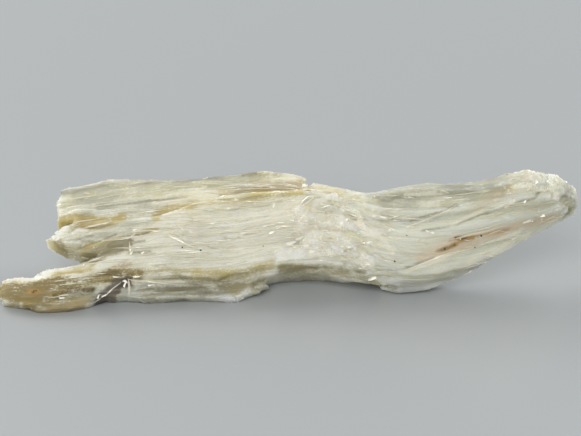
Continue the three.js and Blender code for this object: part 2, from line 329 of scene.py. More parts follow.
def keep_largest(bm):
    """Deletes every shell of a bmesh but its largest."""
    left = set(bm.verts)
    shells = []
    while left:
        front = [left.pop()]
        shells.append(set(front))
        while front:
            v = front.pop()
            near = {e.other_vert(v) for e in v.link_edges} & left
            left -= near
            shells[-1] |= near
            front.extend(near)
    strays = [v for shell in sorted(shells, key=len)[:-1] for v in shell]
    bmesh.ops.delete(bm, geom=strays, context="VERTS")


# The blocks grow together: one closed skin of even cells, with no seam left inside.
bm = join(blocks)
for block in blocks:
    bpy.data.objects.remove(block)
grown = mesh_object("grown", bm)
remesh = grown.modifiers.new("one skin", "REMESH")
remesh.mode = "VOXEL"
remesh.voxel_size = VOXEL * MM
skin_mesh = bpy.data.meshes.new_from_object(grown.evaluated_get(bpy.context.evaluated_depsgraph_get()))
bpy.data.objects.remove(grown)
bm = bmesh.new()
bm.from_mesh(skin_mesh)
bpy.data.meshes.remove(skin_mesh)
keep_largest(bm)
bmesh.ops.smooth_vert(bm, verts=bm.verts, factor=0.4, use_axis_x=True, use_axis_y=True, use_axis_z=True)
places = [grain_of(v.co) for v in bm.verts]
skin = np.array([(spot.x, share) for spot, share in places])
depth = np.array([spot.z for spot, _ in places])


def stroke(path, width, strength):
    """How strongly each point of the skin is marked by a stroke that fades over width mm beside a path."""
    mark = np.zeros(len(skin))
    scale = np.array((1.0, FACE_HEIGHT))
    for (x0, up0), (x1, up1) in zip(path, path[1:]):
        gap = (skin - np.array((x0, up0))) * scale
        arm = np.array((x1 - x0, up1 - up0)) * scale
        t = np.clip(gap @ arm / (arm @ arm), 0, 1)
        far = np.linalg.norm(gap - t[:, None] * arm, axis=1)
        mark = np.maximum(mark, np.exp(-((far / width) ** 2)))
    return mark * strength


ROWS, CELLS = 97, 89  # how many rows and laths a row a shingled skin has before it repeats


def shingles(tall, long, proud):
    """How far each point stands out where the skin breaks into laths of about that size, each with its own
    level and slope."""
    draw = np.random.default_rng(round(tall * 1000))
    start, level, slope = draw.random(ROWS), draw.random((ROWS, CELLS)), draw.random((ROWS, CELLS))
    sway = np.array([noise.noise((spot.x * 0.2, tall * 9.0, spot.y * 0.3)) for spot, _ in places])
    row = np.floor((skin[:, 1] * FACE_HEIGHT + 0.7 * depth) / tall + 1.2 * sway).astype(int) % ROWS
    slant = np.array([noise.noise((spot.x * 0.1, spot.y * 2.2 / tall, spot.z * 1.5)) for spot, _ in places])
    place = skin[:, 0] / long + 40.0 + start[row] + 0.35 * slant
    cell = np.floor(place).astype(int) % CELLS
    return proud * (level[row, cell] - 0.5 + (slope[row, cell] - 0.5) * 2.0 * (place % 1.0 - 0.5))


def grainy(scale, size):
    """Soft noise over the skin with its own scale along, up and out of the face."""
    return size * np.array([noise.noise((p.x * scale[0], p.y * scale[1], p.z * scale[2])) for p, _ in places])


# The marks, a row to a stroke: its width in mm, its strength, and the (mm along, share up) places it runs
# through. These go right through the plates.
THROUGH = {}
# Iron-stained cleavages: tan where it is thin.
THROUGH["tan"] = (
    (0.55, 1.0, (-20.6, 0.78), (-19.4, 0.75), (-17.1, 0.67)),
    (0.6, 1.1, (-17.1, 0.67), (-15.4, 0.66), (-14.6, 0.69)),
    (0.5, 1.3, (-11.6, 0.67), (-11.4, 0.72), (-10.7, 0.75), (-8.6, 0.76)),
    (0.6, 0.65, (-8.6, 0.76), (-5.5, 0.78), (-3.3, 0.79), (-1.0, 0.82), (0.6, 0.85)),
    (0.3, 0.7, (-17.5, 0.47), (-14.7, 0.50), (-11.5, 0.55)),
    (0.25, 0.6, (-19.6, 0.51), (-17.6, 0.46), (-15.6, 0.47)),
    (0.45, 0.8, (3.4, 0.52), (4.6, 0.49)),
    (0.45, 0.7, (1.0, 0.38), (2.0, 0.33)),
    (0.4, 1.2, (1.5, 0.49), (2.6, 0.53), (3.6, 0.51), (4.5, 0.48)),
    (0.5, 0.6, (-8.0, 0.17), (-4.0, 0.17), (-1.5, 0.19)),
    (0.4, 0.35, (-12.0, 0.20), (-8.0, 0.18)),
    (0.5, 0.9, (-20.0, 0.25), (-18.6, 0.28), (-17.0, 0.29)),
    (0.5, 0.5, (-3.0, 0.83), (1.0, 0.86)),
    (0.4, 0.4, (-6.0, 0.88), (-2.0, 0.90)),
)
# The splinter, stained brown all through.
THROUGH["brown"] = (
    (1.1, 1.2, (-25.0, 0.11), (-23.4, 0.11), (-21.8, 0.11), (-20.7, 0.13), (-19.9, 0.15)),
    (0.4, 0.35, (-20.4, 0.76), (-19.2, 0.74)),
    (0.3, 0.7, (-21.2, 0.56), (-20.2, 0.50)),
    (0.55, 0.9, (-19.9, 0.15), (-18.6, 0.16), (-17.2, 0.17), (-15.8, 0.19), (-14.4, 0.20)),
    (0.45, 0.9, (-15.4, 0.20), (-14.0, 0.185), (-12.8, 0.18)),
    # This stroke is painted shade: it darkens the underside of the pale lobe and the splinter.
    (0.7, 0.45, (-23.6, -0.02), (-20.7, -0.04), (-18.0, 0.0)),
)
# Pinkish beige: the faint end of the iron stain.
THROUGH["pink"] = (
    (0.8, 0.9, (12.4, 0.43), (14.1, 0.50), (17.5, 0.51), (21.0, 0.50), (22.8, 0.50)),
    (0.7, 0.6, (15.8, 0.82), (18.4, 0.90), (20.4, 0.95)),
    (0.7, 0.7, (0.4, 0.97), (4.2, 0.96)),
    (0.6, 0.6, (-3.0, 0.94), (1.5, 0.92)),
    (0.7, 0.9, (11.4, 0.38), (13.6, 0.41), (15.6, 0.46)),
    (0.4, 0.6, (-19.6, 0.51), (-18.2, 0.46)),
    (1.0, 0.3, (23.8, 0.95), (24.8, 0.75), (24.4, 0.35)),
    # This stroke is painted shade: it darkens the underside of the pale lobe and the splinter.
    (0.7, 0.45, (-23.6, -0.02), (-20.7, -0.04), (-19.0, 0.0), (-17.2, 0.04)),
)
# Olive: painted shade, a darker olive colour in the hollows, under the ledges and along the lower edge that
# faces down.
THROUGH["olive_painted_shade"] = (
    (0.6, 1.3, (-19.9, 0.41), (-18.3, 0.37), (-16.8, 0.37), (-15.5, 0.41), (-14.2, 0.44)),
    (0.55, 1.6, (-21.4, 0.60), (-20.6, 0.55), (-19.9, 0.49)),
    (0.5, 0.5, (-13.4, 0.21), (-10.3, 0.18), (-7.7, 0.15), (-4.7, 0.15), (-2.4, 0.17)),
    (0.45, 0.75, (-0.6, 0.16), (1.8, 0.14), (3.4, 0.11), (5.0, 0.08), (7.4, 0.05)),
    (0.3, 0.4, (2.6, 0.17), (5.0, 0.13)),
    (0.25, 0.6, (-13.6, 0.37), (-12.0, 0.37)),
    (0.5, 0.5, (-5.6, 0.10), (-3.6, 0.05)),
    (0.5, 0.6, (4.9, 0.20), (6.4, 0.15)),
    (0.8, 0.6, (-12.5, 0.06), (-9.0, 0.06), (-4.0, 0.03), (-2.4, 0.06)),
    (0.4, 0.9, (-18.2, 0.05), (-17.0, 0.07)),
    (0.4, 0.8, (7.4, 0.07), (9.2, 0.05)),
    (0.8, 1.2, (-20.8, 0.78), (-19.4, 0.74), (-17.8, 0.70)),
    (0.5, 1.3, (-19.6, 0.42), (-17.8, 0.40), (-16.2, 0.42)),
    (0.35, 0.8, (-21.2, 0.57), (-20.3, 0.55)),
    (0.5, 0.8, (-20.4, 0.52), (-18.6, 0.46), (-16.0, 0.44), (-14.0, 0.48)),
    (0.8, 0.7, (-23.0, 0.0), (-20.7, -0.02), (-18.0, 0.03)),
)
# Grey: painted see-through and painted shade: the table's grey painted on thin plates at the crest and the
# ends, and painted shade on the skirt and the lobe's underside.
THROUGH["grey"] = (
    (0.6, 0.5, (-16.6, 0.05), (-15.4, 0.09), (-13.9, 0.13)),
    (0.6, 1.1, (-20.6, 1.04), (-15.0, 1.04), (-9.0, 1.02), (-3.0, 1.03)),
    (0.5, 0.9, (9.0, 1.01), (12.0, 1.04), (15.0, 1.01)),
    (0.7, 0.8, (-22.8, -0.02), (-20.7, -0.04), (-18.4, 0.0)),
    (0.6, 0.5, (-20.0, 0.13), (-18.0, 0.12), (-16.6, 0.14)),
    (0.6, 1.0, (-14.0, 0.07), (-9.0, 0.04)),
    (0.4, 0.6, (-16.5, 0.86), (-12.5, 0.84)),
    (0.4, 0.7, (-15.5, 0.64), (-12.0, 0.62)),
    (0.5, 0.6, (-10.0, 0.97), (-6.5, 0.98)),
    (1.1, 0.6, (8.6, 0.90), (12.0, 0.92), (15.0, 0.90), (18.0, 0.90)),
    (0.5, 0.5, (8.0, 0.74), (13.0, 0.76), (17.0, 0.80)),
    (0.5, 0.5, (-18.5, 0.95), (-11.0, 0.94), (-5.0, 0.94)),
    (0.6, 0.7, (-18.0, 0.79), (-14.0, 0.75), (-11.0, 0.76)),
    (1.0, 0.9, (-4.0, 0.88), (1.6, 0.88)),
    (0.5, 0.9, (-4.0, 1.03), (1.5, 1.02), (5.0, 0.98)),
    (0.6, 0.8, (20.4, 0.98), (23.0, 0.92), (24.4, 0.8)),
    (0.3, 1.0, (2.2, 0.68), (2.9, 0.72), (3.6, 0.69)),
    (0.8, 1.1, (16.4, 0.96), (19.8, 0.98)),
    (0.6, 0.5, (11.0, 0.30), (14.0, 0.33)),
    (0.8, 0.6, (-20.0, 0.55), (-17.0, 0.53), (-14.0, 0.56)),
    (1.0, 0.5, (-20.0, 0.92), (-16.0, 0.92)),
    (0.9, 0.6, (10.0, 0.10), (15.0, 0.18)),
    (0.8, 0.5, (24.4, 0.7), (24.8, 0.4), (24.2, 0.2)),
)
# Clear: thin plates that the light goes through.
THROUGH["clear"] = (
    (0.5, 0.8, (-16.4, 0.05), (-14.2, 0.14)),
    (0.8, 0.6, (-12.5, 0.08), (-6.0, 0.04)),
    (0.9, 0.7, (9.4, 0.08), (14.0, 0.12), (17.0, 0.18)),
    (0.8, 0.6, (7.0, 0.95), (12.0, 1.0), (18.0, 0.96)),
    (0.5, 0.7, (-20.6, 1.04), (-15.0, 1.04), (-9.0, 1.02), (-3.0, 1.03)),
    (0.8, 0.6, (24.0, 0.7), (25.0, 0.5), (24.4, 0.2)),
)
# Dark: painted shade seen through the clear shard, where it is thick and shows the shadow under it.
THROUGH["dark"] = (
    (0.42, 1.4, (-16.2, 0.04), (-15.4, 0.09), (-14.5, 0.14), (-13.8, 0.15)),
    (0.22, 0.8, (-15.2, 0.05), (-14.6, 0.08)),
)
# Cracks between two plates, a shade darker.
THROUGH["crack"] = (
    (0.25, 1.4, (-4.0, 1.03), (-0.8, 1.03)),
)
# Pale: single white splinters, a painted highlight on edges that catch the light, and painted light on the
# splinter's shaded underside.
THROUGH["pale"] = (
    (0.2, 0.5, (-20.0, 0.69), (-18.8, 0.64), (-17.6, 0.61)),
    (0.2, 0.5, (-25.0, 0.26), (-23.4, 0.25), (-22.0, 0.26)),
    (0.6, 0.6, (16.0, 0.26), (20.5, 0.31)),
    # This stroke is painted light: it lightens the splinter's shaded underside.
    (0.4, 0.6, (-25.0, 0.0), (-23.0, -0.02)),
    (2.0, 0.35, (-7.0, 0.62), (-3.0, 0.60), (1.0, 0.56)),
    (2.0, 0.35, (8.0, 0.55), (11.0, 0.50), (13.0, 0.35)),
    (0.3, 0.4, (-4.0, 0.34), (-1.0, 0.32)),
    (0.5, 0.6, (-1.0, 0.32), (0.4, 0.34)),
    (0.25, 0.8, (-1.4, 0.97), (0.5, 1.0)),
    (0.4, 0.5, (-20.4, 0.98), (-19.6, 1.0)),
    (0.5, 1.0, (1.4, 0.63), (2.6, 0.68), (3.6, 0.66), (4.9, 0.63), (6.2, 0.58)),
    (1.4, 0.6, (1.6, 0.60), (3.6, 0.54), (6.0, 0.50)),
    (0.4, 0.6, (6.6, 0.56), (8.0, 0.50), (9.0, 0.44)),
    (0.3, 0.5, (14.0, 0.68), (16.0, 0.76), (19.0, 0.84)),
    (0.8, 0.35, (9.8, 0.12), (13.6, 0.22), (18.0, 0.30), (21.0, 0.38)),
    (0.9, 0.2, (22.4, 0.9), (23.4, 0.65), (23.0, 0.45)),
)
# White: crushed, frosted cleavages and crusts.
THROUGH["white"] = (
    (0.45, 0.5, (-21.6, 0.31), (-20.6, 0.33), (-19.0, 0.32), (-17.4, 0.31)),
    (0.4, 0.55, (-5.8, 0.0), (-4.6, -0.02), (-3.4, 0.03)),
    (0.5, 1.4, (-0.6, 0.28), (1.0, 0.27), (2.4, 0.31)),
    (0.4, 1.4, (1.0, 0.53), (1.5, 0.61), (2.1, 0.66)),
    (0.5, 1.2, (2.6, 0.60), (4.0, 0.63), (5.6, 0.61)),
    (0.25, 1.0, (4.9, 0.78), (6.0, 0.76), (6.3, 0.66), (6.4, 0.55)),
    (0.2, 0.6, (-20.3, 0.60), (-20.0, 0.64), (-19.4, 0.66)),
    (0.6, 1.3, (4.6, 0.40), (5.6, 0.34), (6.8, 0.26)),
    (0.8, 2.2, (2.0, 0.38), (3.2, 0.42), (4.8, 0.41)),
    (0.7, 0.8, (2.4, 0.31), (4.7, 0.34), (6.0, 0.30)),
    (0.5, 0.6, (19.4, 0.93), (20.6, 0.94), (22.0, 0.88)),
    (0.25, 0.5, (22.2, 0.88), (23.2, 0.76), (23.3, 0.60)),
    (0.25, 0.6, (17.8, 0.77), (19.2, 0.82)),
    (0.3, 0.55, (10.2, 0.99), (12.6, 1.0)),
)
# These lie only on the outer skin.
FILMS = {}
# Rust: orange-brown where the stain is thick, in a thin broken line.
FILMS["rust"] = (
    (0.24, 0.8, (12.9, 0.435), (13.5, 0.45), (14.3, 0.48)),
    (0.34, 0.35, (14.2, 0.48), (15.0, 0.51), (15.8, 0.52)),
    (0.2, 0.4, (13.9, 0.53), (14.5, 0.55), (15.2, 0.54)),
    (0.34, 0.45, (15.0, 0.53), (17.6, 0.51), (19.0, 0.50)),
    (0.18, 1.6, (13.3, 0.445), (13.6, 0.455)),
    (0.18, 0.9, (14.4, 0.55), (14.6, 0.55)),
    (0.6, 0.3, (-22.6, 0.10), (-21.4, 0.11), (-20.3, 0.16)),
    (0.2, 1.0, (-22.0, 0.11), (-21.6, 0.11)),
    (0.3, 0.4, (-15.0, 0.26), (-13.6, 0.27)),
    (0.2, 0.45, (-16.3, 0.65), (-15.4, 0.66)),
)
# Cracks between two plates, a shade darker.
FILMS["crack"] = (
    (0.14, 0.6, (6.2, 0.69), (8.8, 0.74), (10.6, 0.74)),
    (0.14, 1.0, (10.6, 0.74), (11.9, 0.79), (13.2, 0.82), (14.5, 0.86)),
    (0.14, 0.8, (11.5, 0.65), (14.5, 0.68), (17.0, 0.74)),
    (0.16, 0.8, (8.0, 0.21), (9.9, 0.26), (11.4, 0.33), (12.6, 0.37)),
    (0.14, 0.8, (-17.0, 0.85), (-13.0, 0.84), (-9.0, 0.86)),
    (0.12, 0.7, (-16.9, 0.36), (-15.7, 0.40), (-14.1, 0.45), (-12.5, 0.46)),
    (0.14, 1.0, (-17.0, 0.42), (-15.0, 0.48), (-13.0, 0.51)),
    (0.14, 0.9, (-6.0, 0.77), (-2.0, 0.79), (0.0, 0.82)),
    (0.14, 0.9, (20.2, 0.78), (21.4, 0.85), (22.6, 0.88)),
    (0.14, 0.7, (17.0, 0.72), (19.6, 0.80), (21.0, 0.82)),
    (0.14, 1.0, (1.0, 0.68), (1.6, 0.76), (2.9, 0.83)),
    (0.14, 0.8, (5.4, 0.72), (5.9, 0.68), (6.0, 0.62)),
    (0.14, 1.0, (3.0, 0.50), (4.5, 0.47), (6.0, 0.40)),
    (0.14, 1.0, (0.2, 0.34), (1.2, 0.38), (1.6, 0.46)),
    (0.14, 0.8, (-18.0, 0.52), (-16.4, 0.50), (-15.0, 0.54)),
    (0.12, 0.8, (-20.4, 0.52), (-18.6, 0.47), (-16.8, 0.45), (-14.6, 0.50), (-12.0, 0.53)),
    (0.14, 0.7, (-20.6, 0.58), (-18.8, 0.55), (-17.0, 0.55)),
    (0.14, 0.7, (-20.0, 0.66), (-18.0, 0.63), (-15.0, 0.62)),
)
# Pale: single white splinters, with a painted highlight along their edges.
FILMS["pale"] = (
    (0.16, 1.1, (7.5, 0.18), (8.8, 0.19), (10.1, 0.23), (11.4, 0.29), (13.2, 0.36)),
    (0.16, 0.8, (13.2, 0.36), (14.5, 0.40), (16.2, 0.41), (20.0, 0.44)),
    (0.12, 0.7, (-13.5, 0.16), (-11.5, 0.14), (-9.0, 0.12)),
)
FILM = 0.6  # mm behind the face, where a film has faded out
marks = {}
for strokes, reach in (THROUGH, 1.0), (FILMS, np.clip(depth + FILM, 0, 1)):
    for name, rows in strokes.items():
        layers = marks.setdefault(name, [])
        layers += [stroke(path, width, strength) * reach for width, strength, *path in rows]
marks = {name: np.clip(np.sum(layers, axis=0), 0, 1) for name, layers in marks.items()}
# The relief: shingled and silky on the left half, calmer past the elbow, and rough where it is crushed.
ELBOW_END = 6.0  # mm along
BLUNT_END = 22.5
crushed = marks["white"] + stroke(((0.5, 0.9), (1.5, 0.5), (6.5, 0.6), (6.0, 0.2)), 1.8, 0.3)
crushed += np.clip(skin[:, 0] - BLUNT_END, 0, 0.3)
calm = 0.85 - 0.6 * np.clip((skin[:, 0] - ELBOW_END) / 4.0, 0, 1)
relief = calm * (grainy((0.5, 5.0, 5.0), 0.05) + shingles(0.45, 3.0, 0.07) + shingles(1.1, 5.5, 0.08))
relief += np.clip(crushed, 0, 1) * (grainy((2.2, 2.4, 2.4), 0.13) + grainy((4.5, 4.5, 4.5), 0.08))


def above_table(bm):
    """Lays on the table whatever of a bmesh would reach below it."""
    for v in bm.verts:
        v.co.z = max(v.co.z, 0.0)


bm.normal_update()
for v, out in zip(bm.verts, relief):
    v.co += v.normal * (float(out) * MM)
above_table(bm)
mass = mesh_object("cleavage_plates", bm)
mass.data.polygons.foreach_set("use_smooth", [True] * len(mass.data.polygons))
grain = mass.data.attributes.new("grain", "FLOAT_VECTOR", "POINT")
grain.data.foreach_set("vector", [value for spot, _ in places for value in spot])
for name, values in marks.items():
    layer = mass.data.attributes.new(name, "FLOAT", "POINT")
    layer.data.foreach_set("value", values)


def linear(colour):
    """An sRGB hex colour as linear RGBA."""
    parts = [int(colour[i:i + 2], 16) / 255 for i in (1, 3, 5)]
    return (*(c / 12.92 if c <= 0.04045 else ((c + 0.055) / 1.055) ** 2.4 for c in parts), 1.0)


def add(tree, kind, out=0, settings=(), **inputs):
    """Adds a node of a kind and gives one of its outputs. settings are its own values, and each input is a
    value or a socket to link from. An input's name has _ for a space, or is its place, as in in_0."""
    node = tree.nodes.new(kind)
    for key, value in dict(settings).items():
        setattr(node, key, value)
    for key, value in inputs.items():
        socket = node.inputs[int(key[3:])] if key.startswith("in_") else node.inputs[key.replace("_", " ")]
        if isinstance(value, bpy.types.NodeSocket):
            tree.links.new(value, socket)
        else:
            socket.default_value = value
    return node.outputs[out]


def finish(name, **values):
    """A new material with plain values on its shader's sockets, whose names have _ for a space."""
    made = bpy.data.materials.new(name)
    made.use_nodes = True
    shader = made.node_tree.nodes["Principled BSDF"]
    for key, value in values.items():
        shader.inputs[key.replace("_", " ")].default_value = value
    return made


# Cleaved leiteite, as broken: pearly and translucent, cream to grey-white, with a silky streak along the
# grain where the plates' edges show. Light goes some mm in and comes out warmer.
leiteite = finish(
    "leiteite_cleaved_pearly", IOR=1.87, Specular_IOR_Level=0.2,
    Subsurface_Weight=0.9, Subsurface_Radius=(1.0, 0.9, 0.65), Subsurface_Scale=4.0 * MM,
)
tree = leiteite.node_tree
shader = tree.nodes["Principled BSDF"]
place = add(tree, "ShaderNodeAttribute", "Vector", {"attribute_name": "grain"})
looks = {}
# Noise drawn out along the grain: features per mm along, up and out of the face.
for name, scale, detail, rough in (
    ("bands", (0.10, 0.8, 0.4), 3.0, 0.55),
    ("silk", (0.22, 3.2, 1.2), 5.0, 0.65),
    ("fibres", (0.3, 6.5, 4.0), 4.0, 0.7),
    ("cloud", (0.5, 0.7, 0.6), 3.0, 0.55),
    ("frost", (4.0, 6.0, 6.0), 3.0, 0.7),
    ("sugar", (3.5, 9.0, 9.0), 2.0, 0.6),
    ("seam", (0.10, 1.2, 0.9), 2.0, 0.45),
    ("hair", (0.22, 3.2, 2.4), 2.0, 0.5),
):
    drawn = add(tree, "ShaderNodeVectorMath", 0, {"operation": "MULTIPLY"}, in_0=place, in_1=scale)
    looks[name] = add(tree, "ShaderNodeTexNoise", "Fac",
                      Vector=drawn, Scale=1.0, Detail=detail, Roughness=rough)
# Seams and hairs are the thin lines where two plates' edges meet, between the high and the low of a noise.
for name in "seam", "hair":
    over = add(tree, "ShaderNodeMath", 0, {"operation": "SUBTRACT"}, in_0=looks[name], in_1=0.5)
    looks[name] = add(tree, "ShaderNodeMath", 0, {"operation": "ABSOLUTE"}, in_0=over)
# Each mark is patchy and broken up along the grain.
patchy = -2.0
for name, weight in ("silk", 2.4), ("cloud", 1.8), ("frost", 1.8):
    patchy = add(tree, "ShaderNodeMath", 0, {"operation": "MULTIPLY_ADD"},
                 in_0=looks[name], in_1=weight, in_2=patchy)
for name in marks:
    layer = add(tree, "ShaderNodeAttribute", "Fac", {"attribute_name": name})
    looks[name] = add(tree, "ShaderNodeMath", 0, {"operation": "MULTIPLY"}, in_0=layer, in_1=patchy)
looks["right"] = add(tree, "ShaderNodeSeparateXYZ", "X", Vector=place)
colour = linear("#E2DFCB")
# Each look or mark tints the colour: from and to which of its values the tint grows, its share, and the tint.
for name, start, full, share, tint in (
    ("right", 0.0, 12.0, 1.0, "#DEDED0"),
    ("bands", 0.42, 0.62, 0.5, "#D8D7C3"),
    ("silk", 0.50, 0.70, 0.4, "#F2F0E4"),
    ("silk", 0.47, 0.30, 0.25, "#C2BFA5"),
    ("fibres", 0.50, 0.36, 0.26, "#B5B29B"),
    ("fibres", 0.52, 0.64, 0.4, "#F8F7F0"),
    ("sugar", 0.40, 0.28, 0.28, "#A8A590"),
    ("sugar", 0.60, 0.72, 0.5, "#FBFAF6"),
    ("hair", 0.020, 0.004, 0.3, "#F6F4E8"),
    ("seam", 0.016, 0.003, 0.35, "#968F70"),
    ("right", 0.0, 12.0, 0.6, "#D1D3C5"),
    # The grey, olive, dark and pale tints below carry painted shade, painted see-through and painted
    # highlights as well as colour.
    ("grey", 0.1, 0.9, 0.7, "#A9AA98"),
    ("olive_painted_shade", 0.1, 0.9, 0.85, "#8E855E"),
    ("tan", 0.1, 0.9, 0.85, "#B5A468"),
    ("brown", 0.1, 0.9, 0.9, "#786726"),
    ("pink", 0.1, 1.0, 0.6, "#CFBA96"),
    ("rust", 0.1, 0.8, 0.85, "#A8853F"),
    ("rust", 0.85, 1.3, 0.9, "#5E4318"),
    ("dark", 0.1, 0.9, 0.9, "#6F624D"),
    ("crack", 0.1, 0.9, 0.65, "#8F8970"),
    ("pale", 0.1, 0.8, 0.7, "#F1EEDD"),
    ("white", 0.1, 0.8, 0.9, "#F8F5E8"),
):
    amount = add(tree, "ShaderNodeMapRange", 0, {"interpolation_type": "SMOOTHSTEP"}, Value=looks[name],
                 From_Min=start, From_Max=full, To_Max=share)
    colour = add(tree, "ShaderNodeMix", 2, {"data_type": "RGBA"}, in_0=amount, in_6=colour, in_7=linear(tint))
tree.links.new(colour, shader.inputs["Base Color"])
clearness = add(tree, "ShaderNodeMapRange", 0, Value=looks["clear"], From_Min=0.1, From_Max=0.9, To_Max=0.6)
tree.links.new(clearness, shader.inputs["Transmission Weight"])
gloss = add(tree, "ShaderNodeMapRange", 0, Value=looks["fibres"], To_Min=0.32, To_Max=0.5)
tree.links.new(gloss, shader.inputs["Roughness"])
height = looks["fibres"]
for name, weight in ("silk", 0.6), ("frost", 0.7):
    height = add(tree, "ShaderNodeMath", 0, {"operation": "MULTIPLY_ADD"},
                 in_0=looks[name], in_1=weight, in_2=height)
groove = add(tree, "ShaderNodeMapRange", 0,
             Value=looks["seam"], From_Min=0.0, From_Max=0.03, To_Min=-0.22, To_Max=0.0)
height = add(tree, "ShaderNodeMath", 0, {"operation": "ADD"}, in_0=height, in_1=groove)
bump = add(tree, "ShaderNodeBump", 0, Strength=0.65, Distance=0.08 * MM, Height=height)
tree.links.new(bump, shader.inputs["Normal"])
mass.data.materials.append(leiteite)
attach(mass, "root")
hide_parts("cleavage_mass")

# --------------------------------------------------------------------------------------------------
# Lifted flakes: chips of the same cleavage that the break left on the skin, thin enough to be clear and to
# glint, with threads split off the plates' edges and facets that flash. Each is one thin lath, sunk in at its
# root, where it is still grown on.

FLAKE = 0.05  # mm, a flake's thickness
THREAD = 0.08  # mm, a thread's thickness
THREAD_CUTS = 9


def lath(name, cuts):
    """A flat unit block, cut along its length."""
    bm = grid_block((cuts, 0, 0))
    mesh = bpy.data.meshes.new(name)
    bm.to_mesh(mesh)
    bm.free()
    return mesh


def copy_into(bm, mesh):
    """Copies a mesh into a bmesh and gives its new corners."""
    first = len(bm.verts)
    bm.from_mesh(mesh)
    bm.verts.ensure_lookup_table()
    return bm.verts[first:]


chip = lath("chip", 2)
thread = lath("thread", THREAD_CUTS)
surface = BVHTree.FromObject(mass, bpy.context.evaluated_depsgraph_get())
flakes_bm = bmesh.new()
draw = random.Random("flakes")


def lay_flake(root, normal, heading, long, wide, rise):
    """Lays one flake at a place on the skin: heading is how many degrees it lies off the grain, and rise how
    far its tip lifts for each mm of its length."""
    ahead = Vector((1.0, 0.0, 0.0))
    ahead = (ahead - normal * ahead.dot(normal)).normalized()
    ahead.rotate(Matrix.Rotation(math.radians(heading), 3, normal))
    side = ahead.cross(normal)
    curl, roll = draw.uniform(-0.15, 0.15), draw.uniform(-0.35, 0.35)
    for v in copy_into(flakes_bm, chip):
        t, a, b = v.co.x + 0.5, v.co.z, v.co.y
        half = wide * (1.0 - 0.6 * t * t)
        spot = ahead * (t - 0.4) * long + side * (curl * long * t * t + a * half)
        spot += normal * (rise * t * t * long - 0.03 + roll * a * half + b * FLAKE)
        v.co = root + spot * MM


def lay_thread(path, wide):
    """Lays one splinter as thin as a thread along (mm along, share up) places, sunk in at both ends."""
    steps = [k / (THREAD_CUTS + 1) for k in range(THREAD_CUTS + 2)]
    spots = [skin_at(*path_at(path, t)) for t in steps]
    if not all(spots) or max((b[0] - a[0]).length for a, b in zip(spots, spots[1:])) > STEEP * MM:
        return
    for v in copy_into(flakes_bm, thread):
        k = round((v.co.x + 0.5) * (THREAD_CUTS + 1))
        spot, normal = spots[k]
        ahead = spots[min(k + 1, THREAD_CUTS + 1)][0] - spots[max(k - 1, 0)][0]
        side = ahead.cross(normal).normalized()
        full = math.sin(math.pi * (0.04 + 0.92 * steps[k]))
        v.co = spot + (side * (v.co.z * wide * full) + normal * ((0.8 * full - 0.5 + v.co.y) * THREAD)) * MM


def strew_threads(count, xs, shares, length, wide, slope):
    """Lays threads within the ranges xs and shares. slope is how many mm across one may run for each mm
    along."""
    for _ in range(count):
        x, share, long = draw.uniform(*xs), draw.uniform(*shares), draw.uniform(*length)
        rise = draw.uniform(-slope, slope) * long / FACE_HEIGHT
        bow = draw.uniform(-0.02, 0.02) * long / FACE_HEIGHT
        path = ((x, share), (x + long / 2, share + rise / 2 + bow), (x + long, share + rise))
        lay_thread(path, draw.uniform(*wide))


def lift_flakes(count, xs, shares, outs, length, width, spread, lift):
    """Lays flakes where the skin lies within the ranges xs, shares (up the face) and outs (mm out of it)."""
    inside = np.ones(len(skin), bool)
    for values, (least, most) in (skin[:, 0], xs), (skin[:, 1], shares), (depth, outs):
        inside &= (values > least) & (values < most)
    inside = np.nonzero(inside)[0]
    for _ in range(count):
        v = mass.data.vertices[int(draw.choice(inside))]
        heading = draw.choice((0, 180)) + draw.gauss(0, spread)
        rise = draw.uniform(0.0, 1.0) * lift
        lay_flake(v.co.copy(), v.normal.copy(), heading, draw.uniform(*length), draw.uniform(*width), rise)


# Broad flakes, most of them at the elbow: mm along, share up the face, heading, length, width and lift.
for x, share, heading, long, wide, rise in (
    (3.4, 0.68, -18, 2.4, 0.45, 0.05), (2.4, 0.57, 12, 2.0, 0.4, 0.06), (3.8, 0.42, -6, 2.2, 0.5, 0.05),
    (1.3, 0.42, 50, 1.3, 0.5, 0.08), (5.4, 0.34, -20, 1.8, 0.4, 0.05), (1.6, 0.72, 35, 1.6, 0.4, 0.08),
    (0.1, 0.36, 25, 1.4, 0.4, 0.05), (0.9, 0.40, 10, 0.9, 0.3, 0.10), (1.4, 0.62, 60, 1.2, 0.35, 0.10),
    (2.0, 0.68, -20, 2.0, 0.3, 0.08), (2.6, 0.58, 15, 1.5, 0.4, 0.08), (3.6, 0.66, -35, 1.6, 0.35, 0.08),
    (4.6, 0.60, 40, 1.2, 0.35, 0.08), (5.6, 0.62, -50, 1.4, 0.3, 0.08), (3.0, 0.44, 10, 1.6, 0.4, 0.08),
    (4.8, 0.36, -40, 1.4, 0.4, 0.08), (6.4, 0.20, 10, 0.9, 0.35, 0.10), (7.2, 0.10, 0, 0.7, 0.4, 0.10),
    (7.5, 0.46, 15, 0.7, 0.2, 0.05), (10.6, 0.68, 10, 0.5, 0.2, 0.05), (20.5, 0.54, 10, 0.8, 0.3, 0.05),
    (19.6, 0.39, 20, 0.9, 0.25, 0.08), (18.6, 0.75, 30, 0.8, 0.2, 0.08), (21.9, 0.58, -20, 0.4, 0.3, 0.05),
    (22.8, 0.96, 30, 0.6, 0.3, 0.10), (-10.7, 0.97, 0, 0.7, 0.2, 0.05), (1.4, 0.92, -10, 0.8, 0.3, 0.10),
):
    spot = skin_at(x, share)
    if spot:
        lay_flake(*spot, heading, long, wide, rise)
